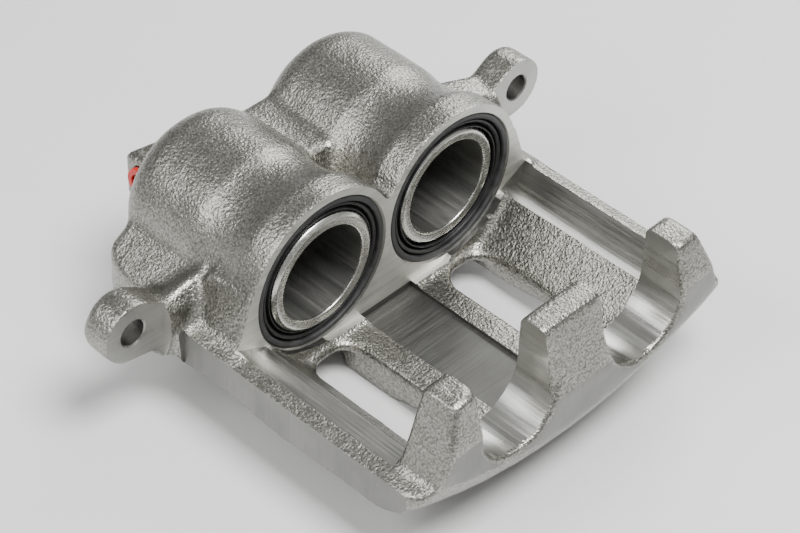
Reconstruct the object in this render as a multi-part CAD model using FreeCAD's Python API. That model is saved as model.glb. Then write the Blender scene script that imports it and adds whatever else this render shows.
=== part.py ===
"""Twin-piston floating brake caliper: cast housing, pistons, seals, boots, bleed screw and plugs.

Every shape is drawn from the bore datum: X across the two bores, Y = 0 on the cylinder mouths and
positive towards their closed ends, Z = 0 on the bore axes. place() then moves it to the row frame,
whose origin is the middle of the two guide-bolt holes on the faces of the guide ears.
"""
import FreeCAD, Part
import math
import os

from FreeCAD import Vector as V

# ---- driving dimensions, mm -------------------------------------------------
# cylinders
BORE_SPACING = 61.9
PISTON_R = 23.0
RUNNING_CLEARANCE = 0.05
BORE_DEPTH = 57.5
CLOSED_END_Y = 71.0
END_ROUND_R = 12.0
BARREL_R = 30.3
MOUTH_FLANGE_R = 33.0
FLANGE_DEPTH = 10.0
WAIST_R = 29.2
WAIST_Y = 23.0
WAIST_END_Y = 34.0
SADDLE_HALF_WIDTH = 9.5
SADDLE_SIDE = [(28, 4), (33, 16.5), (66, 17.5), (68, -20), (20, -25)]  # y, z
LUG_PLAN = [(52, 28.7), (60, 28.7), (66, 33), (71.2, 38), (73.7, 42), (74.3, 48), (73.4, 56),
            (71.8, 60.5), (69.7, 63.1), (66.9, 64.2), (62.9, 63), (52, 61)]  # x, y
LUG_Z = (-24.0, 10.0)
LUG_TOP = [(58, 12), (58, 5.5), (78, -12), (90, 12)]  # x, z of what is cut away above the slope

# pistons, seals and boots
PISTON_LENGTH = 54.0
PISTON_WALL = 4.6
PISTON_FLOOR = 8.0
PISTON_FLOOR_BEVEL = 3.0
PISTON_CHAMFER = 0.7
PISTON_FACE_Y = {"left": -0.3, "right": 1.5}
LIP_GROOVE_Y = 4.0
LIP_GROOVE_WIDTH = 3.0
LIP_GROOVE_R = 22.0
BOOT_RECESS_R = 29.2
BOOT_RECESS_DEPTH = 7.5
BOOT_RING_WIDTH = 2.1
BOOT_RING_Y = (0.3, 5.2)
BOOT_RING_BEVEL = 0.4
BOOT_INNER_R = 23.3
SEAL_GROOVE_Y = 13.0
SEAL_GROOVE_WIDTH = 4.0
SEAL_GROOVE_R = 26.4
SEAL_SIDE_GAP = 0.1

# guide ears and their arms
GUIDE_PITCH = 185.6
GUIDE_HOLE_R = 5.0
GUIDE_FACE_Y = 25.5
GUIDE_Z = -4.2
EAR_R = 11.7
EAR_THICKNESS = 12.8
EAR_ROUND_R = 3.0
EAR_WALL_X = 80.0
EAR_NECK_X = 72.0
EAR_NECK_TOP = [(EAR_NECK_X, -4.5), (EAR_WALL_X + 4, 4.0)]  # x, z
EAR_NECK_FOOT = [(85, -17.5), (EAR_NECK_X, -23)]
ARM_ROOT_X = 60.0
ARM_ROOT_DEPTH = 12.0
ARM_ROOT_SECTION = [(25.5, 6.0), (21.5, -4.0), (21.5, -9.0), (20.5, -28), (34, -30),
                    (48, -24)]  # y, z
ARM_WALL_SECTION = [(25.8, 1.0), (21.3, -2.6), (21.3, -10.4), (24.6, -22.8), (31.6, -24.8),
                    (36.3, -21)]
ARM_TOP = {
    # y, z at the root, then at the wall beside the ear
    "left": ([(42, -8), (29, 3.5)], [(36.3, -9), (29, 0.5)]),
    "right": ([(44, 4)], [(36.3, 3)]),
}

# bridge over the disc, fingers
BRIDGE_HALF_WIDTH = 75.5
UNDERSIDE_STATIONS = (
    # y, height at the middle, arch radius
    (40.0, -50.0, 126.0),
    (15.0, -50.0, 126.0),
    (-10.0, -50.0, 126.0),
    (-25.0, -48.0, 142.0),
    (-38.0, -45.2, 158.0),
    (-60.0, -42.0, 180.0),
    (-100.0, -40.5, 195.0),
)
CROWN_PAD_Z = -45.9
CROWN_PAD_HALF_WIDTH = 34.0
KEEL_HALF_WIDTH = 15.0
KEEL_END_Y = 40.0
KEEL_SIDE = [(2, -48), (KEEL_END_Y, -48), (KEEL_END_Y + 6, -42), (64, -22), (64, -10), (2, -10)]
RAIL_TOP_Z = -12.0
RAIL_INNER_X = 70.1
RAIL_INNER_Z = -10.8
RAIL_REAR_Y = 21.0
ROOT_FLANK = [(69.5, -8.5), (63.8, 8.0)]  # x, z
LEDGE_Z = -16.4
LEDGE_GROOVE = [(RAIL_INNER_X, RAIL_INNER_Z), (66.0, -19.0), (62.1, -16.5), (57.2, LEDGE_Z)]
FLOOR_Z = -32.0
WEB_Z = -33.4
WEB_HALF_WIDTH = 12.5
WINDOW_INNER_X = 22.8
WINDOW_OUTER_X = 43.3
WINDOW_REAR_Y = -5.0
WINDOW_FRONT_Y = -61.5
WINDOW_CORNER_R = 8.0
WINDOW_UNDERCUT_Z = -35.5
WINDOW_UNDERCUT_Y = (-14.0, 7.0)
SCOOP_MIDDLE = [(-8, -50), (-6, -48.3), (-1, -44.8), (1, -41.9), (3, -36.5), (5, -34.2)]  # y, z
SCOOP_OUTER = [(4, -50), (14, -38), (RAIL_REAR_Y + 1, -29)]
SCOOP_HALF_WIDTH = 47.3
FINGER_INNER_Y = -71.5
FINGER_FRONT_Y = -90.5
FINGER_TOP_Z = 17.6
FINGER_FLANK = [(68.8, -9.6), (58.6, FINGER_TOP_Z)]  # x, z
MIDDLE_FINGER_SLOPE = [(-81.5, 18), (FINGER_FRONT_Y, -8)]  # y, z
OUTER_FINGER_SLOPE = [(-85.5, 18), (FINGER_FRONT_Y, 3)]
FINGER_SLOT_R = 17.8
FRONT_ROUND_R = 24.5
CORNER_ROUND_R = 10.0

# hose port, feed gallery and bleed screw
PORT_AXIS_Y = 75.2
PORT_AXIS_Z = 0.9
PORT_FACE_X = -44.0
PORT_THREAD_R = 5.0
PORT_SPOT_FACE_R = 6.6
PORT_DEPTH = 12.0
PORT_BLOCK_PLAN = [(PORT_FACE_X, 66), (PORT_FACE_X, 84.6), (-30, 81.8), (-16, 81.8), (-12, 76),
                   (-12, 66)]  # x, y
PORT_BLOCK_Z = (-10.0, 9.0)
PORT_PLUG_GAP = 0.25
PORT_PLUG_RIM = 1.0
PORT_PLUG_HOLLOW_R = 3.6
PORT_PLUG_LENGTH = 12.0
PASSAGE_R = 1.8
GALLERY_Y = 54.5
GALLERY_Z = 7.0
GALLERY_FACE_X = 60.0
GALLERY_PLUG_R = 4.0
GALLERY_PLUG_LENGTH = 5.0
GALLERY_SOCKET = 4.0
BLEED_X = 45.0
BLEED_Z = -12.0
BLEED_FACE_Y = 74.0
BLEED_BOSS_R = 8.5
BLEED_THREAD_R = 4.0
BLEED_SEAT_Y = 62.0
BLEED_TIP_Y = 90.0
BLEED_HEXAGON = 10.0
BLEED_HEXAGON_Y = (BLEED_FACE_Y + 1, BLEED_FACE_Y + 6)
BLEED_NECK_R = 2.9
BLEED_DRILLING_R = 0.9
CAP_R = 4.7
CAP_WALL = 1.0

BORE_X = BORE_SPACING / 2
BORE_R = PISTON_R + RUNNING_CLEARANCE
GUIDE_X = GUIDE_PITCH / 2
FAR = 140.0
LOWEST_Z = -60.0
X_AXIS, Y_AXIS = V(1, 0, 0), V(0, 1, 0)
SIDES = {"left": -1, "right": 1}


# ---- helpers ----------------------------------------------------------------
def place(shape):
    """Moves a shape from the bore datum to the row frame."""
    moved = shape.copy()
    moved.translate(V(0, -GUIDE_FACE_Y, -GUIDE_Z))
    return moved


def write(name, shape):
    """Writes one sub-part and prints whether it is one valid solid."""
    solids = shape.Solids
    print(name, "valid", shape.isValid(), "solids", len(solids), "volume", round(shape.Volume))
    place(solids[0]).exportStep("parts/" + name + ".step")


def cylinder_y(x, z, radius, y0, y1):
    """Cylinder along Y from y0 to y1."""
    return Part.makeCylinder(radius, y1 - y0, V(x, y0, z), Y_AXIS)


def cylinder_x(y, z, radius, x0, x1):
    """Cylinder along X from x0 to x1."""
    return Part.makeCylinder(radius, x1 - x0, V(x0, y, z), X_AXIS)


def box(x0, x1, y0, y1, z0, z1):
    """Box between two corners."""
    return Part.makeBox(x1 - x0, y1 - y0, z1 - z0, V(x0, y0, z0))


def line(start, end):
    """Straight edge."""
    return Part.LineSegment(start, end).toShape()


def arc(start, middle, end):
    """Round edge through three points."""
    return Part.Arc(start, middle, end).toShape()


def face_of(edges):
    """Plane face inside a closed run of edges."""
    return Part.Face(Part.Wire(edges))


def polygon(points):
    """Plane face inside straight edges."""
    return Part.Face(Part.makePolygon(points + [points[0]]))


def prism_x(outline, x0, x1):
    """Extrudes a (y, z) outline along X."""
    return polygon([V(x0, y, z) for y, z in outline]).extrude(V(x1 - x0, 0, 0))


def prism_y(outline, y0, y1):
    """Extrudes an (x, z) outline along Y."""
    return polygon([V(x, y0, z) for x, z in outline]).extrude(V(0, y1 - y0, 0))


def prism_z(outline, z0, z1):
    """Extrudes an (x, y) outline along Z."""
    return polygon([V(x, y, z0) for x, y in outline]).extrude(V(0, 0, z1 - z0))


def loft_x(outline0, x0, outline1, x1):
    """Solid between two (y, z) outlines that have the same number of corners."""
    wires = []
    for outline, x in ((outline0, x0), (outline1, x1)):
        wires.append(Part.makePolygon([V(x, y, z) for y, z in outline + [outline[0]]]))
    return Part.makeLoft(wires, True, True)


def turned(outline, x, z=0.0):
    """Turns an (r, y) outline a full turn about the line along Y through (x, z)."""
    return polygon([V(x + r, y, z) for r, y in outline]).revolve(V(x, 0, z), Y_AXIS, 360)


def mirrored(shape):
    """The shape together with its mirror image across X = 0."""
    return shape.fuse(shape.mirror(V(0, 0, 0), X_AXIS))


def spans(side, a, b):
    """The two X values on one side of the caliper, lower first."""
    return sorted((side * a, side * b))


# ---- the casting ------------------------------------------------------------
def barrel(x):
    """One cylinder casting: mouth flange, shallow waist, rounded closed end."""
    def at(radius, y):
        return V(x + radius, y, 0)

    centre_r = BARREL_R - END_ROUND_R
    centre_y = CLOSED_END_Y - END_ROUND_R
    diagonal = END_ROUND_R / math.sqrt(2)
    round_middle = at(centre_r + diagonal, centre_y + diagonal)
    edges = [
        line(at(0, 0), at(MOUTH_FLANGE_R, 0)),
        line(at(MOUTH_FLANGE_R, 0), at(MOUTH_FLANGE_R, FLANGE_DEPTH)),
        arc(at(MOUTH_FLANGE_R, FLANGE_DEPTH), at(WAIST_R, WAIST_Y), at(BARREL_R, WAIST_END_Y)),
        line(at(BARREL_R, WAIST_END_Y), at(BARREL_R, centre_y)),
        arc(at(BARREL_R, centre_y), round_middle, at(centre_r, CLOSED_END_Y)),
        line(at(centre_r, CLOSED_END_Y), at(0, CLOSED_END_Y)),
        line(at(0, CLOSED_END_Y), at(0, 0)),
    ]
    return face_of(edges).revolve(V(x, 0, 0), Y_AXIS, 360)


def underside_tool():
    """Everything below the underside: an arch across the bridge that flattens and rises forwards."""
    half = BRIDGE_HALF_WIDTH + 15
    wires = []
    for y, crown_z, radius in UNDERSIDE_STATIONS:
        side_z = crown_z + radius - math.sqrt(radius ** 2 - half ** 2)
        left, right = V(-half, y, side_z), V(half, y, side_z)
        edges = [
            arc(left, V(0, y, crown_z), right),
            line(right, V(half, y, -FAR)),
            line(V(half, y, -FAR), V(-half, y, -FAR)),
            line(V(-half, y, -FAR), left),
        ]
        wires.append(Part.Wire(edges))
    return Part.makeLoft(wires, True, False)


def bridge_half():
    """Right half of the bridge: cylinder root, rail, ledge, floor, cross-beam and fingers."""
    side = BRIDGE_HALF_WIDTH
    root = ROOT_FLANK + [(0, ROOT_FLANK[-1][1])]
    rail = LEDGE_GROOVE + [(WINDOW_OUTER_X, FLOOR_Z), (0, FLOOR_Z)]
    finger = FINGER_FLANK + [(0, FINGER_TOP_Z)]

    def stretch(top_outline, y0, y1):
        outline = [(side, LOWEST_Z), (side, RAIL_TOP_Z)] + top_outline + [(0, LOWEST_Z)]
        return prism_y(outline, y0, y1)

    shape = stretch(rail, FINGER_INNER_Y, 0).fuse(stretch(root, 0, RAIL_REAR_Y))
    shape = shape.fuse(stretch(finger, FINGER_FRONT_Y, FINGER_INNER_Y)).cut(underside_tool())
    low_front = [e for e in shape.Edges if e.BoundBox.YMax < FINGER_FRONT_Y + 0.1
                 and e.BoundBox.XLength > side - 1 and e.BoundBox.ZMax < RAIL_TOP_Z]
    shape = shape.makeFillet(FRONT_ROUND_R, low_front)

    corner_x, corner_y = side - CORNER_ROUND_R, FINGER_FRONT_Y + CORNER_ROUND_R
    corner = box(corner_x, FAR, -FAR, corner_y, -FAR, FAR)
    corner = corner.cut(Part.makeCylinder(CORNER_ROUND_R, 2 * FAR, V(corner_x, corner_y, -FAR)))
    shape = shape.cut(corner)
    for slope, x0, x1 in ((MIDDLE_FINGER_SLOPE, -1, BORE_X), (OUTER_FINGER_SLOPE, BORE_X, FAR)):
        top, foot = slope
        shape = shape.cut(prism_x([top, foot, (-FAR, foot[1]), (-FAR, top[1])], x0, x1))
    return shape


def cylinder_block():
    """The two barrels, the saddle between them and the keel below them."""
    shape = barrel(-BORE_X).fuse(barrel(BORE_X))
    shape = shape.fuse(prism_x(SADDLE_SIDE, -SADDLE_HALF_WIDTH, SADDLE_HALF_WIDTH))
    return shape.fuse(prism_x(KEEL_SIDE, -KEEL_HALF_WIDTH, KEEL_HALF_WIDTH))


def guide_arm(side):
    """Arm and guide ear, drawn on the right and then put on their own side."""
    back_y = GUIDE_FACE_Y + EAR_THICKNESS
    ear_sides = [(GUIDE_X, GUIDE_Z + EAR_R), (GUIDE_X, GUIDE_Z - EAR_R)]
    neck = EAR_NECK_TOP + ear_sides + EAR_NECK_FOOT
    ear = cylinder_y(GUIDE_X, GUIDE_Z, EAR_R, GUIDE_FACE_Y, back_y)
    ear = ear.fuse(prism_y(neck, GUIDE_FACE_Y, back_y)).removeSplitter()
    rear_edges = [e for e in ear.Edges if e.BoundBox.YMin > back_y - 0.1
                  and e.BoundBox.XMax > EAR_NECK_X + 1]
    ear = ear.makeFillet(EAR_ROUND_R, rear_edges)
    root_top, wall_top = ARM_TOP[side]
    root = ARM_ROOT_SECTION + root_top
    arm = loft_x(root, ARM_ROOT_X, ARM_WALL_SECTION + wall_top, EAR_WALL_X)
    shape = ear.fuse(arm).fuse(prism_x(root, ARM_ROOT_X - ARM_ROOT_DEPTH, ARM_ROOT_X))
    return shape if side == "right" else shape.mirror(V(0, 0, 0), X_AXIS)


def side_lug():
    """Right-hand lug on the barrel's flank, with a sloping top."""
    return prism_z(LUG_PLAN, *LUG_Z).cut(prism_y(LUG_TOP, 0, FAR))


def rear_scoops():
    """Clears the underside below the cylinders, behind the ribs of the bridge."""
    tools = []
    for profile, half in ((SCOOP_MIDDLE, SCOOP_HALF_WIDTH), (SCOOP_OUTER, FAR)):
        start_y, end_z = profile[0][0], profile[-1][1]
        outline = [(start_y, -FAR)] + profile + [(FAR, end_z), (FAR, -FAR)]
        tools.append(prism_x(outline, -half, half))
    return tools


def port_block():
    """Hose-port block across the closed end of the left cylinder."""
    return prism_z(PORT_BLOCK_PLAN, *PORT_BLOCK_Z)


def bleed_boss():
    """Boss for the bleed screw on the closed end of the right cylinder."""
    return cylinder_y(BLEED_X, BLEED_Z, BLEED_BOSS_R, BORE_DEPTH, BLEED_FACE_Y)


def raw_casting():
    """The casting before it is machined."""
    shape = mirrored(bridge_half())
    for tool in rear_scoops():
        shape = shape.cut(tool)
    shape = cylinder_block().fuse(shape)
    for side in SIDES:
        shape = shape.fuse(guide_arm(side))
    return shape.fuse(mirrored(side_lug())).fuse(port_block()).fuse(bleed_boss())


# ---- machining --------------------------------------------------------------
def cylinder_tools():
    """Bores, seal grooves, boot recesses, finger slots and the faced cylinder mouths."""
    tools = [box(-FAR, FAR, FINGER_INNER_Y, 0, RAIL_INNER_Z, FAR)]
    groove_end_y = SEAL_GROOVE_Y + SEAL_GROOVE_WIDTH
    slot_end_y = FINGER_INNER_Y + 20
    for side in SIDES.values():
        x = side * BORE_X
        tools.append(cylinder_y(x, 0, BORE_R, -5, BORE_DEPTH))
        tools.append(cylinder_y(x, 0, BOOT_RECESS_R, -5, BOOT_RECESS_DEPTH))
        tools.append(cylinder_y(x, 0, SEAL_GROOVE_R, SEAL_GROOVE_Y, groove_end_y))
        tools.append(cylinder_y(x, 0, FINGER_SLOT_R, -FAR, slot_end_y))
        tools.append(box(x - FINGER_SLOT_R, x + FINGER_SLOT_R, -FAR, slot_end_y, 0, FAR))
    return tools


def window_tools():
    """The two windows through the bridge, undercut towards the cylinders."""
    tools = [box(-WEB_HALF_WIDTH, WEB_HALF_WIDTH, FINGER_INNER_Y, 0, WEB_Z, 0)]
    for side in SIDES.values():
        x0, x1 = spans(side, WINDOW_INNER_X, WINDOW_OUTER_X)
        window = box(x0, x1, WINDOW_FRONT_Y, WINDOW_REAR_Y, LOWEST_Z, 0)
        rear_edges = [e for e in window.Edges if e.BoundBox.ZLength > 20
                      and e.BoundBox.YMin > WINDOW_REAR_Y - 1]
        tools.append(window.makeFillet(WINDOW_CORNER_R, rear_edges))
        tools.append(box(x0, x1, *WINDOW_UNDERCUT_Y, -FAR, WINDOW_UNDERCUT_Z))
    return tools


def ear_tools():
    """Guide-bolt holes and the milled faces of the ears."""
    tools = []
    for side in SIDES.values():
        tools.append(cylinder_y(side * GUIDE_X, GUIDE_Z, GUIDE_HOLE_R, 0, CLOSED_END_Y))
        x0, x1 = spans(side, EAR_WALL_X, FAR)
        tools.append(box(x0, x1, 0, GUIDE_FACE_Y, LOWEST_Z, FAR))
    return tools


def passage_tools():
    """Hose port, its feed to the left bore, the gallery between the bores and the bleed port."""
    port_end_x = PORT_FACE_X + PORT_DEPTH
    return [
        cylinder_x(PORT_AXIS_Y, PORT_AXIS_Z, PORT_SPOT_FACE_R, -FAR, PORT_FACE_X),
        cylinder_x(PORT_AXIS_Y, PORT_AXIS_Z, PORT_THREAD_R, PORT_FACE_X - 1, port_end_x),
        cylinder_y(port_end_x - 2 * PASSAGE_R, PORT_AXIS_Z, PASSAGE_R, BORE_DEPTH - 1, PORT_AXIS_Y),
        cylinder_x(GALLERY_Y, GALLERY_Z, PASSAGE_R, -BORE_X, GALLERY_FACE_X),
        cylinder_x(GALLERY_Y, GALLERY_Z, GALLERY_PLUG_R, GALLERY_FACE_X - GALLERY_PLUG_LENGTH, FAR),
        cylinder_y(BLEED_X, BLEED_Z, PASSAGE_R, BORE_DEPTH - 1, BLEED_SEAT_Y + 1),
        cylinder_y(BLEED_X, BLEED_Z, BLEED_THREAD_R, BLEED_SEAT_Y, BLEED_FACE_Y + 5),
    ]


def crown_tool():
    """Levels the crown of the underside into the pad that the caliper rests on."""
    half = CROWN_PAD_HALF_WIDTH
    return box(-half, half, FINGER_INNER_Y, FAR, -FAR, CROWN_PAD_Z)


def caliper_housing():
    shape = raw_casting()
    for tool in cylinder_tools() + window_tools() + ear_tools() + passage_tools() + [crown_tool()]:
        shape = shape.cut(tool)
    return shape.removeSplitter()


# ---- what the cylinders hold ------------------------------------------------
def piston(side):
    """Steel cup with its open end towards the pad and a groove for the boot's lip."""
    face = PISTON_FACE_Y[side]
    back = face + PISTON_LENGTH
    floor = back - PISTON_FLOOR
    groove_start = face + LIP_GROOVE_Y
    groove_end = groove_start + LIP_GROOVE_WIDTH
    cup_r = PISTON_R - PISTON_WALL
    edge = PISTON_CHAMFER
    outline = [
        (0, floor), (cup_r - PISTON_FLOOR_BEVEL, floor), (cup_r, floor - PISTON_FLOOR_BEVEL),
        (cup_r, face), (PISTON_R - edge, face), (PISTON_R, face + edge),
        (PISTON_R, groove_start), (LIP_GROOVE_R, groove_start),
        (LIP_GROOVE_R, groove_end), (PISTON_R, groove_end),
        (PISTON_R, back - 2 * edge), (PISTON_R - 2 * edge, back), (0, back),
    ]
    return turned(outline, SIDES[side] * BORE_X)


def piston_seal(side):
    """Square-section rubber ring in the bore's groove."""
    y0 = SEAL_GROOVE_Y + SEAL_SIDE_GAP
    y1 = SEAL_GROOVE_Y + SEAL_GROOVE_WIDTH - SEAL_SIDE_GAP
    outline = [(BORE_R, y0), (SEAL_GROOVE_R, y0), (SEAL_GROOVE_R, y1), (BORE_R, y1)]
    return turned(outline, SIDES[side] * BORE_X)


def boot_ring(side):
    """Steel-cored outer ring that holds the dust boot in its recess."""
    inner_r = BOOT_RECESS_R - BOOT_RING_WIDTH
    y0, y1 = BOOT_RING_Y
    bevel = BOOT_RING_BEVEL
    outline = [(inner_r, y0 + bevel), (inner_r + bevel, y0), (BOOT_RECESS_R - bevel, y0),
               (BOOT_RECESS_R, y0 + bevel), (BOOT_RECESS_R, y1), (inner_r, y1)]
    return turned(outline, SIDES[side] * BORE_X)


def dust_boot(side):
    """Rubber boot with one rolled fold between its outer bead and its inner lip."""
    outer_r = BOOT_RECESS_R - BOOT_RING_WIDTH
    inner_r = BOOT_INNER_R
    bottom = BOOT_RECESS_DEPTH
    outline = [
        (inner_r, 1.1), (inner_r + 0.9, 0.9), (inner_r + 1.1, 5.2), (inner_r + 1.7, 5.2),
        (inner_r + 1.9, 1.4), (outer_r - 0.8, 1.0), (outer_r, 1.9), (outer_r, bottom),
        (inner_r + 0.6, bottom), (inner_r, bottom - 1.5),
    ]
    return turned(outline, SIDES[side] * BORE_X)


# ---- fittings ---------------------------------------------------------------
def hose_port_plug():
    """Plastic transit plug pushed into the hose port, open at its outer end."""
    y, z = PORT_AXIS_Y, PORT_AXIS_Z
    outer_x = PORT_FACE_X - 2.0
    rim_x = PORT_FACE_X - 0.1
    inner_x = outer_x + PORT_PLUG_LENGTH
    plug = cylinder_x(y, z, PORT_THREAD_R + PORT_PLUG_RIM, outer_x, rim_x)
    plug = plug.fuse(cylinder_x(y, z, PORT_THREAD_R - PORT_PLUG_GAP, rim_x, inner_x))
    return plug.cut(cylinder_x(y, z, PORT_PLUG_HOLLOW_R, outer_x - 1, inner_x - 2))


def hexagon(a, b, across_flats):
    """Corners of a hexagon round a point."""
    radius = across_flats / math.sqrt(3)
    angles = [math.radians(60 * i) for i in range(6)]
    return [(a + radius * math.cos(t), b + radius * math.sin(t)) for t in angles]


def gallery_plug():
    """Socket plug that closes the outer end of the gallery drilling."""
    y, z, face_x = GALLERY_Y, GALLERY_Z, GALLERY_FACE_X
    plug = cylinder_x(y, z, GALLERY_PLUG_R, face_x - GALLERY_PLUG_LENGTH, face_x)
    return plug.cut(prism_x(hexagon(y, z, GALLERY_SOCKET), face_x - 3, face_x + 1))


def bleed_screw():
    """Hollow bleed screw: cone seat, thread, hexagon and hose nipple."""
    x, z = BLEED_X, BLEED_Z
    thread_r = BLEED_THREAD_R - RUNNING_CLEARANCE
    seat_y = BLEED_SEAT_Y + 0.3
    outline = [
        (0, seat_y), (1.0, seat_y), (thread_r - 0.8, seat_y + 2.5), (thread_r - 0.8, seat_y + 4),
        (thread_r, seat_y + 4.8), (thread_r, BLEED_FACE_Y + 1), (BLEED_NECK_R, BLEED_FACE_Y + 1),
        (BLEED_NECK_R, BLEED_TIP_Y - 5), (BLEED_NECK_R + 0.5, BLEED_TIP_Y - 4),
        (BLEED_NECK_R - 0.4, BLEED_TIP_Y), (0, BLEED_TIP_Y),
    ]
    screw = turned(outline, x, z)
    screw = screw.fuse(prism_y(hexagon(x, z, BLEED_HEXAGON), *BLEED_HEXAGON_Y))
    drilling = cylinder_y(x, z, BLEED_DRILLING_R, seat_y + 5.5, BLEED_TIP_Y + 1)
    cross_hole = cylinder_x(seat_y + 6.2, z, BLEED_DRILLING_R - 0.1, x, x + 10)
    return screw.cut(drilling).cut(cross_hole)


def bleed_screw_cap():
    """Rubber cap pushed over the bleed screw's nipple."""
    mouth_y, end_y = BLEED_HEXAGON_Y[1] + 0.5, BLEED_TIP_Y + 2.0
    inner_r, rim_r = CAP_R - CAP_WALL, CAP_R + 0.3
    outline = [
        (inner_r, mouth_y), (rim_r, mouth_y), (rim_r, mouth_y + 1.5), (CAP_R, mouth_y + 1.5),
        (CAP_R, end_y - 1), (inner_r, end_y), (0, end_y), (0, BLEED_TIP_Y + 0.4),
        (inner_r, BLEED_TIP_Y + 0.4),
    ]
    return turned(outline, BLEED_X, BLEED_Z)


def main():
    os.makedirs("parts", exist_ok=True)
    write("caliper_housing", caliper_housing())
    for side in SIDES:
        write("piston_" + side, piston(side))
        write("piston_seal_" + side, piston_seal(side))
        write("boot_ring_" + side, boot_ring(side))
        write("dust_boot_" + side, dust_boot(side))
    write("hose_port_plug", hose_port_plug())
    write("gallery_plug", gallery_plug())
    write("bleed_screw", bleed_screw())
    write("bleed_screw_cap", bleed_screw_cap())


main()
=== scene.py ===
"""Looks of the twin-piston brake caliper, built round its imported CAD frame.

The housing is made the way the real one is: the CAD shape gets a machining allowance, is rounded
and roughened like a sand casting, and is then cut with the tools that the machine shop would use.
Outlines are in millimetres from the bore datum: X across the bores, Y = 0 on the cylinder mouths
and positive towards their closed ends, Z = 0 on the bore axes.
"""
import math

import bmesh
import bpy
import numpy as np
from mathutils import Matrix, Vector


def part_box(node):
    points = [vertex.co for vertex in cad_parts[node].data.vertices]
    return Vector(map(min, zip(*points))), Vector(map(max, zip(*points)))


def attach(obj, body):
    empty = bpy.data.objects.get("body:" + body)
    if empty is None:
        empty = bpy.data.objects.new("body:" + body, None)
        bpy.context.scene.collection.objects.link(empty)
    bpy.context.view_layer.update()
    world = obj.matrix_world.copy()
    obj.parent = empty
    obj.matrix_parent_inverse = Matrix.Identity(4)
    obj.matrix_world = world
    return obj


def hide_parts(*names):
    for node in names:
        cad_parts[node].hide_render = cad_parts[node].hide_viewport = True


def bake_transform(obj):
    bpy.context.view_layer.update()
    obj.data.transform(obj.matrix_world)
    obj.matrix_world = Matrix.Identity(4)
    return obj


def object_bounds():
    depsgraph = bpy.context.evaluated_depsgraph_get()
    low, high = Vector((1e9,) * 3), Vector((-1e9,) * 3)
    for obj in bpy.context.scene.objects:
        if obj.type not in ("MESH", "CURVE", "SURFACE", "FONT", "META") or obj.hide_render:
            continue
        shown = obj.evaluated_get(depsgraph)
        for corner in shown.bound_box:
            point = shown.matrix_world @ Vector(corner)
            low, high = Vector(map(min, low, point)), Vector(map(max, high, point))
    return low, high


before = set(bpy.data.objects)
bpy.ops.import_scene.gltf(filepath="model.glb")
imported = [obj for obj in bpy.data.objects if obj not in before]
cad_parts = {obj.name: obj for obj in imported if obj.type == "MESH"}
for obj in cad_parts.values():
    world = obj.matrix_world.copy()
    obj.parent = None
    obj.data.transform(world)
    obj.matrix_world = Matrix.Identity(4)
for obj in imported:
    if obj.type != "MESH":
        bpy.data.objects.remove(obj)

import openvdb as vdb
from mathutils import Matrix, Vector, noise

CAD_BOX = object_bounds()
MM = 0.001

# ---- places read from the frame, in mm from the bore datum --------------------------------------
ring_low, ring_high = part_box("boot_ring_left")
piston_low, piston_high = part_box("piston_left")
RING_PROUD = 0.3
DATUM = Vector((0.0, ring_low.y - RING_PROUD * MM, (piston_low.z + piston_high.z) / 2))


def from_datum(point):
    """Row frame, metres, to the bore datum, millimetres."""
    return (Vector(point) - DATUM) / MM


def at(x, y, z):
    """Bore datum, millimetres, to the row frame, metres."""
    return DATUM + Vector((x, y, z)) * MM


BORE_X = abs(from_datum((ring_low + ring_high) / 2).x)
PISTON_R = (piston_high.x - piston_low.x) / 2 / MM
RECESS_R = (ring_high.x - ring_low.x) / 2 / MM
PISTON_FACE_Y = {side: from_datum(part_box("piston_" + side)[0]).y for side in ("left", "right")}
PISTON_LENGTH = (piston_high.y - piston_low.y) / MM
SIDES = {"left": -1, "right": 1}

# ---- machined sizes, mm ---------------------------------------------------------------------------
BORE_R = PISTON_R + 0.05
BORE_DEPTH = 57.5
RECESS_DEPTH = 7.5
MOUTH_CHAMFER = 0.6
SEAL_GROOVE = (13.0, 17.0, 26.4)  # y of both walls, radius
SLOT_R = 17.8
FINGER_INNER_Y = -71.5
FINGER_FRONT_Y = -90.5
SIDE_X = 75.5
RAIL_REAR_Y = 21.0
EAR_FACE_Y = -DATUM.y / MM
EAR_Z = -DATUM.z / MM
EAR_X = 92.8
EAR_WALL_X = 80.0
EAR_HOLE_R = 5.0
WEB_Z = -33.4
WEB_HALF_WIDTH = 12.5
FLOOR_Z = -32.0
PAD_Z = -45.9
PORT = (75.2, 0.9, 5.0, -44.0, 12.0)  # y, z, radius, x of the face, depth
SPOT_FACE_R = 6.6
GALLERY = (54.5, 7.0, 4.0, 60.0)  # y, z, radius, x of the face
GALLERY_PLUG_LENGTH = 5
BLEED = (45.0, -12.0, 4.0, 74.0, 62.0)  # x, z, radius, y of the face, y of the seat

# ---- sizes of the small pieces, mm ------------------------------------------------------------------
PISTON_WALL = 4.6
PISTON_FLOOR = 8.0
BOOT_RING_WIDTH = 2.1
BOOT_RING_END_Y = 5.2
PORT_PLUG_HOLLOW_R = 3.6
GALLERY_SOCKET = 4.0
BLEED_HEXAGON = 10.0
BLEED_TIP_Y = 90.0
CAP_INNER_R, CAP_R, CAP_RIM_R = 3.7, 4.7, 5.0
CAP_END_Y = 92.0

# ---- casting ----------------------------------------------------------------------------------------
ALLOWANCE = 1.6
VOXEL = 1.05
FILLET_R = 2.2
ROUND_R = 0.9
WAVE_HEIGHT, WAVE_SIZE = 0.15, 9
GRAIN_HEIGHT, GRAIN_SIZE = 0.05, 2.4

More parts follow.
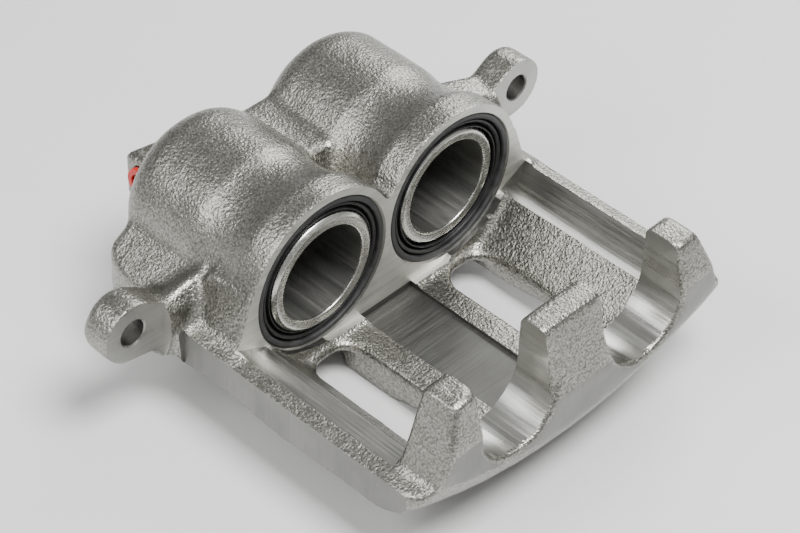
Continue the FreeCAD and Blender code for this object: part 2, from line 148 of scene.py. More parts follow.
# ---- outlines of the right-hand side, mirrored for the left, mm ---------------------------------------
MOUTH_EDGE = [(28, -31.2), (50, -20.4), (59, -15.4), (70, -9.8), (90, -8)]  # x, z
LEDGE_FILL = [(72.5, -13.5), (70.4, -10.3), (57.6, -15.5), (56.4, -17.4), (64, -24), (72.5, -24)]  # x, z
LEDGE_CUT = [(70.1, -10.6), (66, -19), (62.1, -16.5), (57.2, -16.4), (57.2, -8), (70.1, -8)]  # x, z
EAR_WALL_FILL = [(25.8, 1.0), (21.3, -2.6), (21.3, -10.4), (24.6, -22.8), (31.6, -24.8),
                 (31.6, 1.0)]  # y, z


# ---- mesh helpers -----------------------------------------------------------------------------------
def new_object(name, mesh):
    obj = bpy.data.objects.new(name, mesh)
    bpy.context.scene.collection.objects.link(obj)
    return obj


def mesh_from(name, points, faces):
    """Mesh from bore-datum points."""
    mesh = bpy.data.meshes.new(name)
    mesh.from_pydata([at(*p) for p in points], [], faces)
    mesh.update()
    return mesh


def outward(mesh):
    """Makes every face of a closed mesh point outwards."""
    bm = bmesh.new()
    bm.from_mesh(mesh)
    bmesh.ops.recalc_face_normals(bm, faces=bm.faces)
    bm.to_mesh(mesh)
    bm.free()
    return mesh


def prism(name, outline, axis, low, high):
    """Closed prism along an axis. The outline holds the other two coordinates, in X, Y, Z order."""
    def point(pair, along):
        values = list(pair)
        values.insert("xyz".index(axis), along)
        return values

    count = len(outline)
    points = [point(pair, along) for along in (low, high) for pair in outline]
    faces = [list(range(count))[::-1], list(range(count, 2 * count))]
    faces += [[i, (i + 1) % count, (i + 1) % count + count, i + count] for i in range(count)]
    return outward(mesh_from(name, points, faces))


def block(name, x, y, z):
    """Closed box between pairs of limits."""
    outline = [(x[0], y[0]), (x[1], y[0]), (x[1], y[1]), (x[0], y[1])]
    return prism(name, outline, "z", z[0], z[1])


def lathe(name, outline, centre, axis="y", steps=128):
    """Turns an (r, along) outline about a line along Y or X. Ends at r = 0 close on the axis."""
    points, rows = [], []
    for radius, along in outline:
        row = []
        for i in range(1 if radius == 0 else steps):
            angle = 2 * math.pi * i / steps
            a, b = radius * math.cos(angle), radius * math.sin(angle)
            if axis == "y":
                points.append((centre[0] + a, along, centre[1] + b))
            else:
                points.append((along, centre[0] + a, centre[1] + b))
            row.append(len(points) - 1)
        rows.append(row)
    closed = outline[0][0] != 0
    pairs = zip(rows, rows[1:] + rows[:1]) if closed else zip(rows, rows[1:])
    faces = []
    for low, high in pairs:
        for i in range(steps):
            j = (i + 1) % steps
            corners = [low[i % len(low)], low[j % len(low)], high[j % len(high)], high[i % len(high)]]
            faces.append(list(dict.fromkeys(corners)))
    return outward(mesh_from(name, points, faces))


def rounded(outline, radius, steps, closed=True):
    """Rounds the corners of an outline of pairs by up to a radius."""
    result = []
    count = len(outline)
    for i, corner in enumerate(outline):
        corner = Vector(corner)
        if not closed and i in (0, count - 1):
            result.append(tuple(corner))
            continue
        before, after = Vector(outline[i - 1]) - corner, Vector(outline[(i + 1) % count]) - corner
        reach = min(radius, before.length * 0.45, after.length * 0.45)
        start, end = corner + before.normalized() * reach, corner + after.normalized() * reach
        for k in range(steps + 1):
            t = k / steps
            result.append(tuple((1 - t) ** 2 * start + 2 * t * (1 - t) * corner + t ** 2 * end))
    return result


def smooth(mesh, angle):
    """Smooth shading, broken at edges sharper than an angle in degrees."""
    mesh.shade_smooth()
    mesh.set_sharp_from_angle(angle=math.radians(angle))


def combined(obj, tools, operation):
    """The object's mesh after one boolean for each tool. The tools' materials come along."""
    helpers = []
    for tool in tools:
        helper = new_object("helper", tool)
        helper.hide_render = True
        modifier = obj.modifiers.new("cut", "BOOLEAN")
        modifier.operation = operation
        modifier.solver = "MANIFOLD"
        modifier.material_mode = "TRANSFER"
        modifier.object = helper
        helpers.append(helper)
    graph = bpy.context.evaluated_depsgraph_get()
    mesh = bpy.data.meshes.new_from_object(obj.evaluated_get(graph))
    obj.modifiers.clear()
    for helper in helpers:
        bpy.data.objects.remove(helper)
    obj.data = mesh
    return mesh


# ---- materials --------------------------------------------------------------------------------------
NOISE_SPREAD = (0.3, 0.7)  # most values of a noise lie between these
WAVE_SCALE = 314.2  # scale at which the wave bands lie 1 mm apart


class Nodes:
    """Small helper that builds one material's node tree."""

    def __init__(self, name, colour, roughness, metallic):
        self.material = bpy.data.materials.new(name)
        self.material.use_nodes = True
        self.tree = self.material.node_tree
        self.shader = self.tree.nodes["Principled BSDF"]
        self.shader.inputs["Base Color"].default_value = (*colour, 1)
        self.shader.inputs["Roughness"].default_value = roughness
        self.shader.inputs["Metallic"].default_value = metallic
        self.place = self.tree.nodes.new("ShaderNodeTexCoord").outputs["Object"]

    def link(self, output, target):
        self.tree.links.new(output, target)

    def node(self, kind, **inputs):
        made = self.tree.nodes.new(kind)
        for key, value in inputs.items():
            socket = made.inputs[key.replace("_", " ")]
            if hasattr(value, "is_output"):
                self.link(value, socket)
            else:
                socket.default_value = value
        return made

    def stretched(self, scale):
        """Coordinates multiplied by a vector, per metre."""
        mapping = self.node("ShaderNodeMapping", Vector=self.place)
        mapping.inputs["Scale"].default_value = scale
        return mapping.outputs["Vector"]

    def noise(self, size_mm, detail=3.0, place=None):
        made = self.node("ShaderNodeTexNoise", Vector=place or self.place, Scale=1000 / size_mm,
                         Detail=detail)
        return made.outputs["Fac"]

    def cells(self, size_mm):
        made = self.node("ShaderNodeTexVoronoi", Vector=self.place, Scale=1000 / size_mm)
        return made.outputs["Distance"]

    def waves(self, direction, pitch_mm):
        """Regular bands, a little wavy, that vary along one axis."""
        made = self.node("ShaderNodeTexWave", Vector=self.place, Scale=WAVE_SCALE / pitch_mm,
                         Distortion=0.6, Detail=1.0, Detail_Scale=0.2)
        made.bands_direction = direction.upper()
        return made.outputs["Fac"]

    def ramp(self, value, low, high, stops=(0.35, 0.65)):
        """A colour between low and high that follows a noise."""
        made = self.node("ShaderNodeValToRGB", Fac=value)
        made.color_ramp.elements[0].position, made.color_ramp.elements[1].position = stops
        made.color_ramp.elements[0].color = (*low, 1)
        made.color_ramp.elements[1].color = (*high, 1)
        return made.outputs["Color"]

    def range(self, value, low, high):
        """A number between low and high that follows a noise."""
        made = self.node("ShaderNodeMapRange", Value=value)
        made.inputs["From Min"].default_value, made.inputs["From Max"].default_value = NOISE_SPREAD
        made.inputs["To Min"].default_value, made.inputs["To Max"].default_value = low, high
        return made.outputs["Result"]

    def mix(self, fac, a, b):
        made = self.tree.nodes.new("ShaderNodeMix")
        made.data_type = "RGBA"
        for index, value in ((0, fac), (6, a), (7, b)):
            self.link(value, made.inputs[index])
        return made.outputs[2]

    def bump(self, height, depth_mm, below=None):
        made = self.node("ShaderNodeBump", Height=height, Distance=depth_mm * MM, Strength=1.0)
        if below:
            self.link(below, made.inputs["Normal"])
        return made.outputs["Normal"]

    def finish(self, colour=None, roughness=None, normal=None):
        for name, output in (("Base Color", colour), ("Roughness", roughness), ("Normal", normal)):
            if output:
                self.link(output, self.shader.inputs[name])
        return self.material


def cast_metal():
    """Zinc-plated sand casting: fine pebbled grain that sparkles."""
    n = Nodes("cast", (0.26, 0.26, 0.24), 0.4, 1.0)
    grain = n.noise(0.8, 2.0)
    fine = n.noise(0.5, 2.0)
    tint = n.ramp(n.noise(26, 3.0), (0.225, 0.222, 0.196), (0.30, 0.296, 0.265))
    shade = n.ramp(grain, (0.13, 0.129, 0.115), (0.42, 0.416, 0.378), (0.36, 0.62))
    colour = n.mix(n.range(fine, 0.4, 0.85), tint, shade)
    normal = n.bump(n.noise(6, 2.0), 0.2)
    normal = n.bump(n.cells(1.3), 0.12, normal)
    normal = n.bump(grain, 0.24, normal)
    return n.finish(colour, n.range(fine, 0.24, 0.42), normal)


def milled_metal(name, along, tone, pitch_mm, roughness, depth_mm=0.05, bands=None):
    """Milled face with fine cutter lines along one axis, and even bands across another one."""
    n = Nodes(name, (tone, tone, tone), roughness, 1.0)
    scale = [1.0, 1.0, 1.0]
    scale["xyz".index(along)] = 0.03
    lines = n.noise(pitch_mm, 2.0, n.stretched(scale))
    low, high = tone * 0.84, tone * 1.1
    broad = n.ramp(n.noise(18, 3.0), (low, low * 0.995, low * 0.93), (high, high * 0.995, high * 0.93))
    streak = n.ramp(lines, (low * 0.85, low * 0.85, low * 0.80), (high * 1.1, high * 1.1, high * 1.03))
    colour = n.mix(n.range(n.noise(5, 2.0), 0.15, 0.5), broad, streak)
    normal = n.bump(lines, depth_mm)
    if bands:
        normal = n.bump(n.waves(bands, pitch_mm), 0.03, normal)
    normal = n.bump(n.noise(0.7, 2.0), depth_mm / 2, normal)
    return n.finish(colour, n.range(lines, roughness - 0.05, roughness + 0.09), normal)


def rubber(name, tone, roughness):
    n = Nodes(name, (tone, tone, tone * 1.05), roughness, 0.0)
    dust = n.noise(5, 4.0)
    colour = n.ramp(dust, (tone * 0.7,) * 3, (tone * 1.5, tone * 1.5, tone * 1.55))
    return n.finish(colour, n.range(dust, roughness - 0.08, roughness + 0.12),
                    n.bump(n.noise(0.8, 3.0), 0.03))


def plastic(name, low, high):
    n = Nodes(name, high, 0.3, 0.0)
    flow = n.noise(4, 2.0)
    return n.finish(n.ramp(flow, low, high), n.range(flow, 0.22, 0.38), n.bump(n.noise(1.2), 0.02))


CAST = cast_metal()
# The mouth faces, and the fingers' faces towards the pistons, get a high tone of 0.70. This is painted
# reflection of the pale floor that these faces mirror; their cutter lines are their own.
MILLED_MOUTH_PAINTED_REFLECTION = milled_metal("milled_mouth_painted_reflection", "x", 0.70, 1.2, 0.50, 0.02, "z")
SIDE_FACE = milled_metal("milled_side", "z", 0.23, 1.3, 0.38, 0.08)
FRONT_FACE = milled_metal("milled_front", "z", 0.21, 1.2, 0.38, 0.08)
EAR_FACE = milled_metal("milled_ear", "x", 0.42, 0.9, 0.40, 0.03, "z")
WEB = milled_metal("milled_web", "x", 0.15, 0.8, 0.40, 0.015, "y")
LEDGE = milled_metal("milled_ledge", "y", 0.30, 0.9, 0.36, 0.07)
SLOT = milled_metal("bored_slot", "y", 0.36, 2.2, 0.30, 0.04)
BORED = milled_metal("bored", "x", 0.26, 0.6, 0.33)
PAD = milled_metal("milled_pad", "y", 0.30, 1.2, 0.36, 0.04, "x")
RIM = milled_metal("ground_rim", "x", 0.60, 0.5, 0.24, 0.002)
PISTON_SIDE = milled_metal("plated_piston", "x", 0.55, 0.5, 0.16, 0.006)
CUP = milled_metal("piston_cup", "y", 0.27, 1.2, 0.50, 0.02)
STEEL = milled_metal("plated_steel", "x", 0.42, 0.5, 0.30, 0.02)
BOOT_RUBBER = rubber("boot_rubber", 0.012, 0.42)
RING_RUBBER = rubber("boot_ring_rubber", 0.03, 0.5)
SEAL_RUBBER = rubber("seal_rubber", 0.015, 0.45)
CAP_RUBBER = rubber("cap_rubber", 0.02, 0.55)
RED_PLASTIC = plastic("red_plastic", (0.42, 0.008, 0.004), (0.62, 0.02, 0.012))


# ---- the housing ------------------------------------------------------------------------------------
def grow_faces(mesh, selects, distance):
    """Pulls the flat faces that selects(centre, normal) picks outwards, as a machining allowance."""
    bm = bmesh.new()
    bm.from_mesh(mesh)
    bmesh.ops.remove_doubles(bm, verts=bm.verts, dist=1e-7)
    groups = {}
    for face in bm.faces:
        direction = selects(from_datum(face.calc_center_median()), face.normal)
        if direction:
            groups.setdefault(direction, []).append(face)
    for direction, faces in groups.items():
        made = bmesh.ops.extrude_face_region(bm, geom=faces)
        moved = [item for item in made["geom"] if isinstance(item, bmesh.types.BMVert)]
        bmesh.ops.translate(bm, verts=moved, vec=Vector(direction) * distance * MM)
        bmesh.ops.delete(bm, geom=faces, context="FACES_ONLY")
    bmesh.ops.triangulate(bm, faces=bm.faces)
    bmesh.ops.recalc_face_normals(bm, faces=bm.faces)
    bm.to_mesh(mesh)
    bm.free()


def allowance(centre, normal):
    """Which way a face of the housing grows before casting, or None."""
    if normal.y < -0.999 and abs(centre.y) < 0.01:
        return (0, -1, 0)
    if abs(normal.x) > 0.999 and abs(abs(centre.x) - SIDE_X) < 0.01:
        return (math.copysign(1, centre.x), 0, 0)
    if normal.y < -0.999 and abs(centre.y - EAR_FACE_Y) < 0.01 and abs(centre.x) > EAR_WALL_X:
        return (0, -1, 0)
    if normal.z < -0.999 and abs(centre.z - PAD_Z) < 0.01:
        return (0, 0, -1)
    return None


def surface_of(mesh):
    """Points and triangles of a mesh as arrays, in millimetres."""
    mesh.calc_loop_triangles()
    points = np.empty(len(mesh.vertices) * 3, np.float32)
    mesh.vertices.foreach_get("co", points)
    triangles = np.empty(len(mesh.loop_triangles) * 3, np.int32)
    mesh.loop_triangles.foreach_get("vertices", triangles)
    return points.reshape(-1, 3) / MM, triangles.reshape(-1, 3).astype(np.uint32), None


def offset(surface, distance):
    """The closed surface that lies a distance outside another one, or inside it if negative."""
    points, triangles, quads = surface
    band = abs(distance) / VOXEL + 3
    grid = vdb.FloatGrid.createLevelSetFromPolygons(
        points, triangles=triangles, quads=quads,
        transform=vdb.createLinearTransform(voxelSize=VOXEL), halfWidth=band)
    return grid.convertToPolygons(isovalue=distance, adaptivity=0.0)


def sand_cast(mesh):
    """Fills tight corners, rounds edges and roughens the skin."""
    surface = surface_of(mesh)
    for distance in (FILLET_R, -(FILLET_R + ROUND_R), ROUND_R):
        surface = offset(surface, distance)
    points, triangles, quads = surface
    faces = [tuple(face)[::-1] for face in triangles.tolist() + quads.tolist()]
    cast = bpy.data.meshes.new("casting")
    cast.from_pydata((points.astype(float) * MM).tolist(), [], faces)
    cast.update()
    outward(cast)
    normals = [vertex.normal.copy() for vertex in cast.vertices]
    for vertex, normal in zip(cast.vertices, normals):
        place = vertex.co / MM
        wave = WAVE_HEIGHT * noise.fractal(place / WAVE_SIZE, 1.0, 2.0, 2)
        grain = GRAIN_HEIGHT * noise.fractal(place / GRAIN_SIZE, 0.8, 2.0, 2)
        vertex.co += normal * (wave + grain) * MM
    cast.update()
    return cast


def slot_outline(x):
    """U-shaped finger slot round a bore axis, open upwards."""
    arc = [(x + SLOT_R * math.cos(a), SLOT_R * math.sin(a))
           for a in np.linspace(math.pi, 2 * math.pi, 49)]
    return [(x - SLOT_R, 45.0)] + arc + [(x + SLOT_R, 45.0)]


def with_material(mesh, material):
    mesh.materials.clear()
    mesh.materials.append(material)
    return mesh


def fillers():
    """Solids that close the machined hollows and give the cutters stock, before casting."""
    made = []
    for sign in SIDES.values():
        x = sign * BORE_X
        made.append(lathe("fill", [(0, -ALLOWANCE), (RECESS_R + 2, -ALLOWANCE),
                                   (RECESS_R + 2, 9), (BORE_R + 4, 12), (BORE_R + 4, 60), (0, 60)],
                          (x, 0)))
        made.append(prism("fill", [(x - SLOT_R - 2, -20), (x + SLOT_R + 2, -20),
                                   (x + SLOT_R + 2, 17.4), (x - SLOT_R - 2, 17.4)],
                          "y", FINGER_FRONT_Y + 9, FINGER_INNER_Y - 0.2))
        ledge = [(sign * a, b) for a, b in LEDGE_FILL]
        made.append(prism("fill", ledge, "y", FINGER_INNER_Y - 2, 2))
        wall = sorted((sign * (EAR_WALL_X - 2), sign * (EAR_WALL_X + ALLOWANCE)))
        made.append(prism("fill", EAR_WALL_FILL, "x", *wall))
    half = WEB_HALF_WIDTH + 3
    made.append(block("fill", (-half, half), (FINGER_INNER_Y - 2, 2), (-38, FLOOR_Z)))
    return made


def machining_tools():
    """One closed cutter for each machined surface."""
    y, z, radius, face_x, depth = PORT
    mouth = [(-90, 60)] + [(-a, b) for a, b in reversed(MOUTH_EDGE)] + MOUTH_EDGE + [(90, 60)]
    tools = [
        # The mouth cutter's material carries a bright tone that is painted reflection.
        with_material(prism("mouth", mouth, "y", -ALLOWANCE - 1.2, 0), MILLED_MOUTH_PAINTED_REFLECTION),
        with_material(block("web", (-WEB_HALF_WIDTH, WEB_HALF_WIDTH), (FINGER_INNER_Y, 0.0),
                            (WEB_Z, 60)), WEB),
        with_material(block("pad", (-60, 60), (-80, 60), (-80, PAD_Z)), PAD),
        with_material(lathe("port", [(0, face_x - 60), (SPOT_FACE_R, face_x - 60),
                                     (SPOT_FACE_R, face_x), (radius, face_x),
                                     (radius, face_x + depth), (0, face_x + depth)],
                            (y, z), "x"), BORED),
    ]
    y, z, radius, face_x = GALLERY
    tools.append(with_material(lathe("gallery", [(0, face_x - GALLERY_PLUG_LENGTH),
                                                 (radius, face_x - GALLERY_PLUG_LENGTH),
                                                 (radius, 140), (0, 140)], (y, z), "x"), BORED))
    x, z, radius, _, seat_y = BLEED
    tools.append(with_material(lathe("bleed", [(0, seat_y), (radius, seat_y), (radius, 90),
                                               (0, 90)], (x, z)), BORED))
    groove_low, groove_high, groove_r = SEAL_GROOVE
    for sign in SIDES.values():
        x = sign * BORE_X
        tools.append(with_material(lathe("recess", [
            (0, -3), (RECESS_R + MOUTH_CHAMFER, -3), (RECESS_R + MOUTH_CHAMFER, 0),
            (RECESS_R, MOUTH_CHAMFER), (RECESS_R, RECESS_DEPTH), (BORE_R, RECESS_DEPTH),
            (BORE_R, groove_low), (groove_r, groove_low), (groove_r, groove_high),
            (BORE_R, groove_high), (BORE_R, BORE_DEPTH), (0, BORE_DEPTH)], (x, 0), steps=160), BORED))
        tools.append(with_material(prism("slot", slot_outline(x), "y", -120, FINGER_INNER_Y + 20),
                                   SLOT))
        wall = sorted((sign * EAR_WALL_X, sign * 140))
        tools.append(with_material(block("ear", wall, (0, EAR_FACE_Y), (-45, 40)), EAR_FACE))
        tools.append(with_material(lathe("guide", [
            (0, 5), (EAR_HOLE_R + 8, 5), (EAR_HOLE_R + 0.5, EAR_FACE_Y), (EAR_HOLE_R, EAR_FACE_Y + 0.5),
            (EAR_HOLE_R, 60), (0, 60)], (sign * EAR_X, EAR_Z), steps=64), BORED))
        side = sorted((sign * SIDE_X, sign * 140))
        tools.append(with_material(block("side", side, (-120, RAIL_REAR_Y - 0.8), (-80, 60)),
                                   SIDE_FACE))
        ledge = [(sign * a, b) for a, b in LEDGE_CUT]
        tools.append(with_material(prism("ledge", ledge, "y", FINGER_INNER_Y, 0), LEDGE))
    return tools


def paint_flats(mesh, rules):
    """Gives the faces that a rule(centre, normal) picks a material of their own."""
    indices = {}
    for material, _ in rules:
        mesh.materials.append(material)
        indices[material.name] = len(mesh.materials) - 1
    for face in mesh.polygons:
        centre = from_datum(face.center)
        for material, picks in rules:
            if picks(centre, face.normal):
                face.material_index = indices[material.name]


def flat_front(centre, normal):
    """Front of the fingers, up to about the height of the bore axes."""
    return centre.y < FINGER_FRONT_Y + 0.8 and normal.y < -0.96 and centre.z < 2


def flat_inside(centre, normal):
    """Side of the fingers that faces the pistons."""
    return abs(centre.y - FINGER_INNER_Y) < 0.6 and normal.y > 0.97


def housing():
    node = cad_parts["caliper_housing"]
    raw = new_object("casting", node.data.copy())
    raw.data.materials.clear()
    grow_faces(raw.data, allowance, ALLOWANCE)
    combined(raw, fillers(), "UNION")
    raw.data = sand_cast(raw.data)
    raw.data.materials.append(CAST)
    mesh = combined(raw, machining_tools(), "DIFFERENCE")
    # The fingers' faces towards the pistons take the mouth's bright tone, which is painted reflection.
    paint_flats(mesh, [(FRONT_FACE, flat_front), (MILLED_MOUTH_PAINTED_REFLECTION, flat_inside)])
    smooth(mesh, 38)
    finished(raw, "housing_casting", "caliper_housing", "housing")


def finished(obj, name, node, body):
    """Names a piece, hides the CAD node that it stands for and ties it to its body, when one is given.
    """
    obj.name = name
    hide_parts(node)
    if body:
        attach(obj, body)
    return obj


# ---- what the cylinders hold ------------------------------------------------------------------------
def piston(side):
    """Ground cup with rounded lips, a boot groove and a dark inside."""
    face = PISTON_FACE_Y[side]
    back = face + PISTON_LENGTH
    floor = back - PISTON_FLOOR
    cup_r = PISTON_R - PISTON_WALL
    outline = [(0, floor), (cup_r - 3, floor), (cup_r - 0.9, floor - 0.9), (cup_r, floor - 3)]
    outline += [(cup_r, floor - 20), (cup_r, face + 12), (cup_r, face + 2.2)]
    outline += rounded([(cup_r, face + 2.2), (cup_r, face), (cup_r + 2.2, face)], 0.9, 5, False)
    outline += rounded([(cup_r + 2.2, face), (PISTON_R - 1.3, face), (PISTON_R, face + 1.3),
                        (PISTON_R, face + 3.7)], 0.45, 3, False)[1:]
    outline += [(PISTON_R, face + 3.8), (PISTON_R - 0.2, face + 4), (PISTON_R - 1, face + 4),
                (PISTON_R - 1, face + 7), (PISTON_R - 0.2, face + 7), (PISTON_R, face + 7.2),
                (PISTON_R, back - 1.4), (PISTON_R - 0.4, back - 0.5), (PISTON_R - 1.4, back), (0, back)]
    centre_x = SIDES[side] * BORE_X
    mesh = with_material(lathe("piston", outline, (centre_x, 0), steps=160), PISTON_SIDE)

    def in_cup(centre, normal):
        near = math.hypot(centre.x - centre_x, centre.z) < cup_r + 0.02
        return near and face + 1.2 < centre.y < back - 1

    def on_rim(centre, normal):
        return centre.y < face + 1.5

    paint_flats(mesh, [(CUP, in_cup), (RIM, on_rim)])
    smooth(mesh, 30)
    finished(new_object("piston", mesh), "piston_cup_" + side, "piston_" + side, "piston_" + side)


def boot_ring(side):
    """Square ring with rounded corners that holds the boot's bead."""
    inner = RECESS_R - BOOT_RING_WIDTH
    corners = [(inner, 0.35), (RECESS_R, 0.35), (RECESS_R, BOOT_RING_END_Y), (inner, BOOT_RING_END_Y)]
    outline = rounded(corners, 0.55, 4)
    mesh = with_material(lathe("ring", outline, (SIDES[side] * BORE_X, 0), steps=160), RING_RUBBER)
    smooth(mesh, 40)
    finished(new_object("ring", mesh), "boot_outer_ring_" + side, "boot_ring_" + side, "housing")


def dust_boot(side):
    """Thin bellows: a bead deep in the recess, one rolled fold and a lip round the piston."""
    bead = RECESS_R - 2.2
    lip = PISTON_R + 0.12
    wall = 0.55
    path = [(bead - 0.4, 7.0), (bead - 0.4, 4.0), (bead - 0.5, 2.2), (bead - 1.0, 1.25),
            (bead - 1.7, 1.6), (bead - 1.9, 2.6), (bead - 2.1, 3.6), (bead - 2.5, 4.0),
            (bead - 2.9, 3.6), (lip + 0.55, 2.2), (lip + 0.5, 1.3)]
    left, right = [], []
    for i, point in enumerate(path):
        before, after = Vector(path[max(i - 1, 0)]), Vector(path[min(i + 1, len(path) - 1)])
        along = (after - before).normalized()
        across = Vector((-along.y, along.x)) * wall / 2
        left.append(tuple(Vector(point) + across))
        right.append(tuple(Vector(point) - across))
    outline = rounded(left + right[::-1], 0.5, 2)
    x = SIDES[side] * BORE_X
    mesh = with_material(lathe("boot", outline, (x, 0), steps=160), BOOT_RUBBER)
    smooth(mesh, 50)
    obj = finished(new_object("boot", mesh), "bellows_" + side, "dust_boot_" + side, None)
    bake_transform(obj)


# ---- fittings ---------------------------------------------------------------------------------------
def hexagon(a, b, flats):
    """Corners of a hexagon round a point."""
    radius = flats / math.sqrt(3)
    return [(a + radius * math.cos(math.pi * i / 3), b + radius * math.sin(math.pi * i / 3))
            for i in range(6)]


def port_plug():
    """Hollow transit plug with a rim and one groove round its stem."""
    y, z, radius, face_x, _ = PORT
    outer, stem, hollow = radius + 1.0, radius - 0.25, PORT_PLUG_HOLLOW_R
    outline = [(0, face_x + 8), (hollow, face_x + 8), (hollow, face_x - 1.4)]
    outline += rounded([(hollow, face_x - 1.4), (hollow + 0.2, face_x - 2), (outer, face_x - 2),
                        (outer, face_x - 0.1), (stem, face_x - 0.1)], 0.5, 4, False)[1:]
    outline += [(stem, face_x + 1.5), (stem - 0.25, face_x + 2), (stem - 0.25, face_x + 4),
                (stem, face_x + 4.5), (stem, face_x + 9), (stem - 0.8, face_x + 10), (0, face_x + 10)]
    mesh = with_material(lathe("plug", outline, (y, z), "x", 96), RED_PLASTIC)
    smooth(mesh, 40)
    finished(new_object("plug", mesh), "port_plug_cup", "hose_port_plug", "port_plug")


def gallery_plug():
    """Flush plug with a hexagon socket."""
    y, z, radius, face_x = GALLERY
    end_x = face_x - GALLERY_PLUG_LENGTH
    outline = [(0, face_x), (radius - 0.6, face_x), (radius - 0.02, face_x - 0.6),
               (radius - 0.02, end_x), (0, end_x)]
    mesh = with_material(lathe("plug", outline, (y, z), "x", 96), STEEL)
    obj = new_object("plug", mesh)
    socket = prism("socket", hexagon(y, z, GALLERY_SOCKET), "x", face_x - 3, face_x + 1)
    smooth(combined(obj, [with_material(socket, STEEL)], "DIFFERENCE"), 30)
    finished(obj, "gallery_screw_plug", "gallery_plug", "housing")


def bleed_screw():
    """Screw with a cone seat, rings for its thread, a chamfered hexagon and a drilled nipple."""
    x, z, radius, face_y, seat_y = BLEED
    tip_y = BLEED_TIP_Y
    thread = radius - 0.05
    outline = [(0, seat_y + 0.3), (1.0, seat_y + 0.3), (thread - 0.8, seat_y + 2.8),
               (thread - 0.8, seat_y + 4.3)]
    turns = int(face_y - 2 - seat_y - 5)
    for i in range(turns):
        start = seat_y + 5 + i
        outline += [(thread - 0.5, start), (thread, start + 0.45), (thread, start + 0.6)]
    outline += [(thread - 0.3, face_y - 1.5), (thread - 0.3, face_y + 3), (2.9, face_y + 6.2),
                (2.9, tip_y - 5), (3.4, tip_y - 4), (3.3, tip_y - 3.4), (2.5, tip_y)]
    outline += [(0.9, tip_y), (0.9, tip_y - 20), (0, tip_y - 20)]
    mesh = with_material(lathe("screw", outline, (x, z), steps=64), STEEL)
    obj = new_object("screw", mesh)
    flats = prism("hex", hexagon(x, z, BLEED_HEXAGON), "y", face_y + 1, face_y + 6)
    hexagon_bar = new_object("hex", with_material(flats, STEEL))
    rim = [(0, face_y + 0.9), (5.1, face_y + 0.9), (5.9, face_y + 1.5), (5.9, face_y + 5.5),
           (5.1, face_y + 6.1), (0, face_y + 6.1)]
    chamfered = combined(hexagon_bar, [with_material(lathe("rim", rim, (x, z), steps=64), STEEL)],
                         "INTERSECT")
    smooth(combined(obj, [chamfered], "UNION"), 30)
    bpy.data.objects.remove(hexagon_bar)
    finished(obj, "bleed_nipple_screw", "bleed_screw", "bleed_screw")


def bleed_cap():
    """Closed cap with a rim and three grooves."""
    x, z, _, face_y, _ = BLEED
    mouth_y, end_y = face_y + 6.5, CAP_END_Y
    outline = [(CAP_INNER_R, mouth_y)]
    outline += rounded([(CAP_INNER_R, mouth_y), (CAP_RIM_R, mouth_y), (CAP_RIM_R, mouth_y + 1.5),
                        (CAP_R, mouth_y + 1.6), (CAP_R, mouth_y + 3)], 0.4, 4, False)[1:]
    for i in range(3):
        start = mouth_y + 3.6 + i * 1.6
        outline += [(CAP_R, start), (CAP_R - 0.2, start + 0.25), (CAP_R - 0.2, start + 0.75),
                    (CAP_R, start + 1)]
    outline += rounded([(CAP_R, end_y - 3), (CAP_R, end_y), (0, end_y)], 1.4, 6, False)[1:]
    outline += [(0, BLEED_TIP_Y + 0.4), (CAP_INNER_R, BLEED_TIP_Y + 0.4)]
    mesh = with_material(lathe("cap", outline, (x, z), steps=80), CAP_RUBBER)
    smooth(mesh, 40)
    finished(new_object("cap", mesh), "bleed_nipple_cap", "bleed_screw_cap", "bleed_cap")


housing()
for side in SIDES:
    piston(side)
    boot_ring(side)
    dust_boot(side)
    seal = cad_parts["piston_seal_" + side]
    seal.data.materials.clear()
    seal.data.materials.append(SEAL_RUBBER)
port_plug()
gallery_plug()
bleed_screw()
bleed_cap()


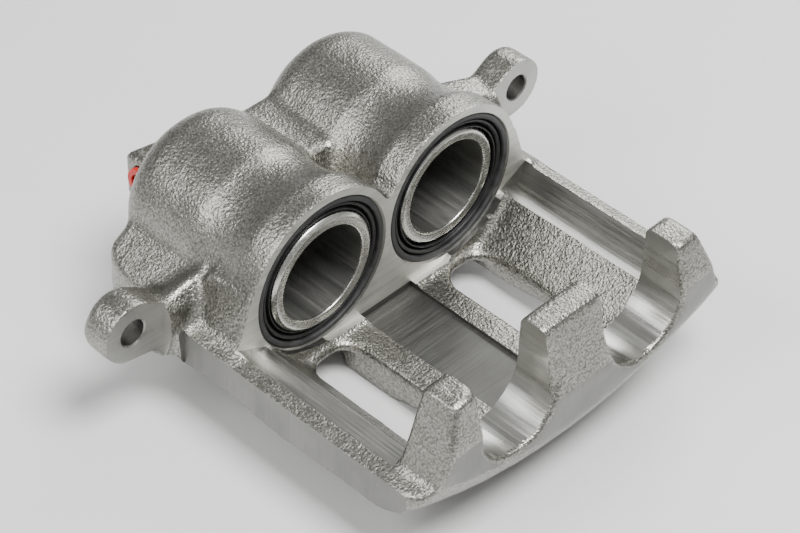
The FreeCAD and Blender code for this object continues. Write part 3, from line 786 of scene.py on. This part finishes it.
# ---- camera, light and floor ------------------------------------------------------------------------
VIEW_AZIMUTH, VIEW_ELEVATION, VIEW_ROLL = -47.35, 42.47, 2.38
VIEW_TARGET = Vector((0.0, -0.0316, -0.0084))
VIEW_DISTANCE = 0.9157
LENS, SENSOR_WIDTH = 120.7, 36.0  # mm
FLOOR_REACH, FLOOR_GAP = 3.0, 0.0005
SKY_STRENGTH = 0.42
LIGHTS = (  # name, place and size in metres, watts
    ("top", (0.05, -0.45, 1.1), 0.6, 23),
    ("left", (-0.85, 0.15, 0.75), 0.7, 8),
    ("right", (0.9, 0.3, 0.6), 0.6, 7),
)


def camera():
    """Camera at the photograph's viewing angle, rolled a little as the photograph is."""
    data = bpy.data.cameras.new("camera")
    data.lens, data.sensor_width = LENS, SENSOR_WIDTH
    obj = new_object("camera", data)
    azimuth, elevation, roll = (math.radians(v) for v in (VIEW_AZIMUTH, VIEW_ELEVATION, VIEW_ROLL))
    back = Vector((math.sin(azimuth) * math.cos(elevation), -math.cos(azimuth) * math.cos(elevation),
                   math.sin(elevation)))
    right = Vector((math.cos(azimuth), math.sin(azimuth), 0.0))
    up = back.cross(right)
    rolled_right = math.cos(roll) * right + math.sin(roll) * up
    rolled_up = math.cos(roll) * up - math.sin(roll) * right
    turn = Matrix((rolled_right, rolled_up, back)).transposed().to_4x4()
    obj.matrix_world = Matrix.Translation(VIEW_TARGET + back * VIEW_DISTANCE) @ turn
    bpy.context.scene.camera = obj


def area_light(name, place, size, power):
    """Round soft light aimed at the origin."""
    data = bpy.data.lights.new(name, "AREA")
    data.shape, data.size, data.energy = "DISK", size, power
    obj = new_object(name, data)
    obj.location = place
    obj.rotation_euler = (-Vector(place)).to_track_quat("-Z", "Y").to_euler()


def studio():
    """Pale floor just below the part, white surroundings and three soft lights."""
    floor = new_object("floor", bpy.data.meshes.new("floor"))
    reach, level = FLOOR_REACH, CAD_BOX[0][2] - FLOOR_GAP
    floor.data.from_pydata([(-reach, -reach, level), (reach, -reach, level), (reach, reach, level),
                            (-reach, reach, level)], [], [(0, 1, 2, 3)])
    n = Nodes("floor", (0.7, 0.7, 0.7), 0.6, 0.0)
    floor.data.materials.append(n.finish(n.ramp(n.noise(300), (0.68,) * 3, (0.72,) * 3)))
    world = bpy.data.worlds.new("studio")
    bpy.context.scene.world = world
    world.use_nodes = True
    sky = world.node_tree.nodes["Background"]
    sky.inputs["Color"].default_value = (1, 1, 1, 1)
    sky.inputs["Strength"].default_value = SKY_STRENGTH
    for name, place, size, power in LIGHTS:
        area_light(name, place, size, power)


camera()
studio()
